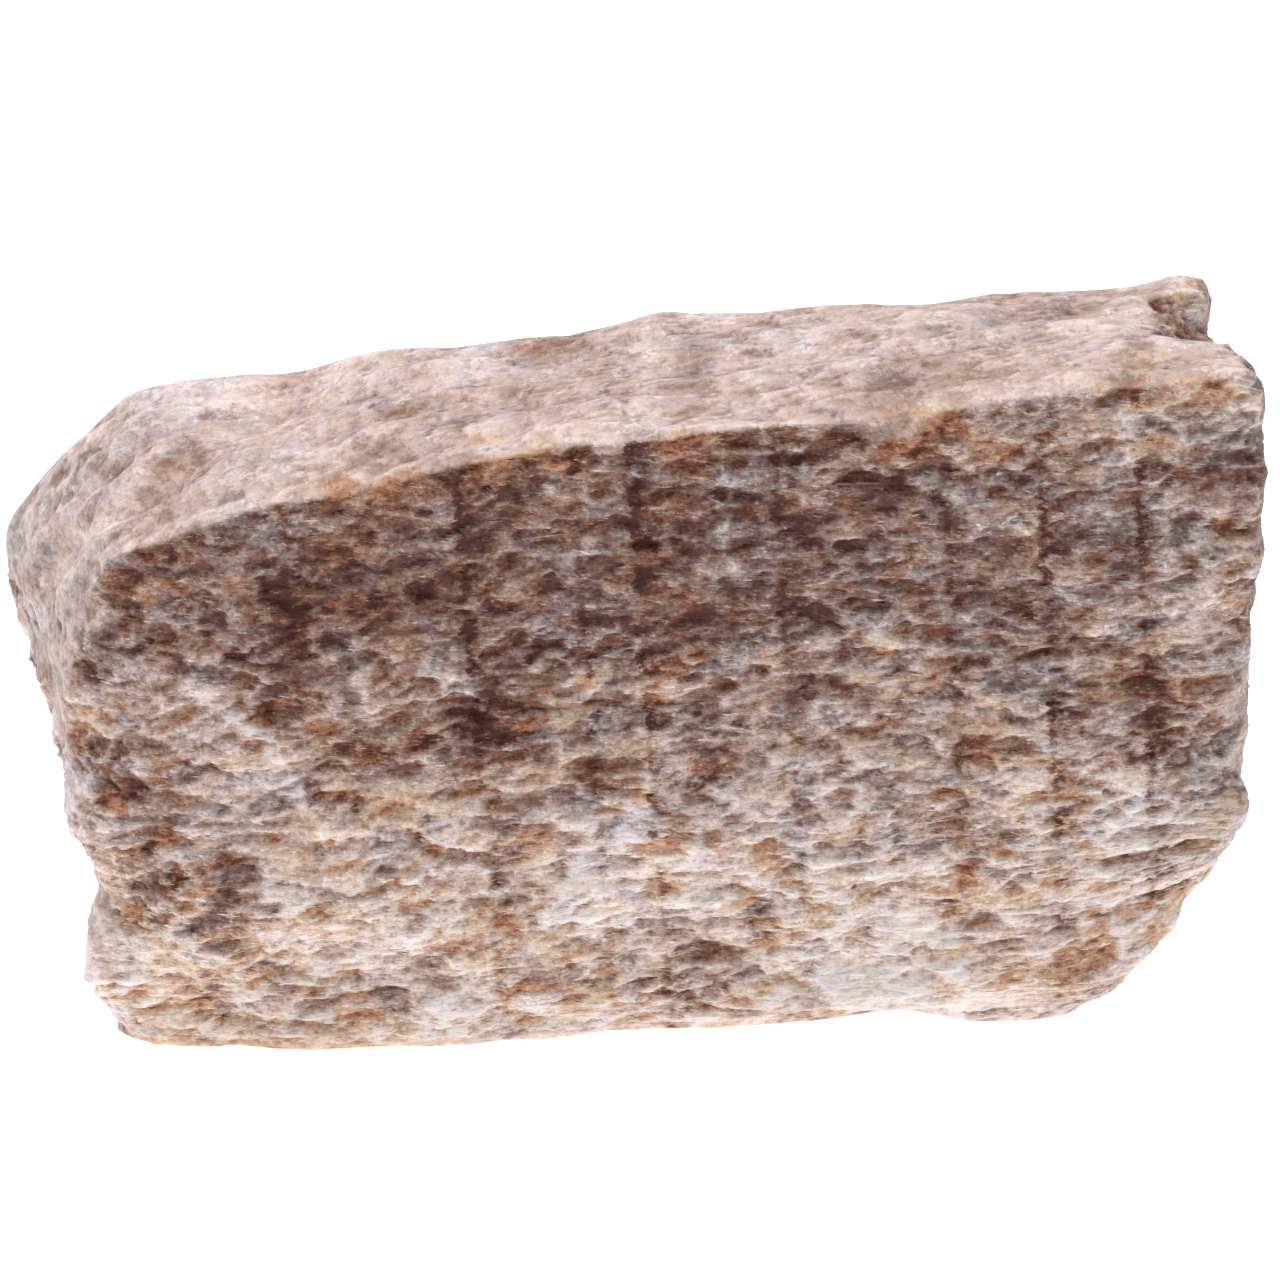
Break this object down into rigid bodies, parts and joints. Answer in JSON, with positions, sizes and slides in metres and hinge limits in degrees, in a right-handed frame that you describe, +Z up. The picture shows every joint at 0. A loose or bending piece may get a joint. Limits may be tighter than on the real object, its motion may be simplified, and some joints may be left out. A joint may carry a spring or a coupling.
{
  "type": "aragonite specimen",
  "caption": "Cleaved block of fibrous brown aragonite with a broken, splintery front, a paler cleaved top and a flat base to rest on.",
  "frame": {"origin": "middle of the block's bounding box, on the flat base", "axes": "+X along the block's length and its fibres, towards the taller end; -Y the broad broken side; +Z up from the base"},
  "size_m": [0.0616, 0.0244, 0.0361],
  "materials": {
    "aragonite": "silky, broken across fine fibres: cream, beige, amber brown and plum grey patches with growth bands"
  },
  "bodies": {
    "root": {"aragonite_block": "aragonite"}
  },
  "joints": []
}
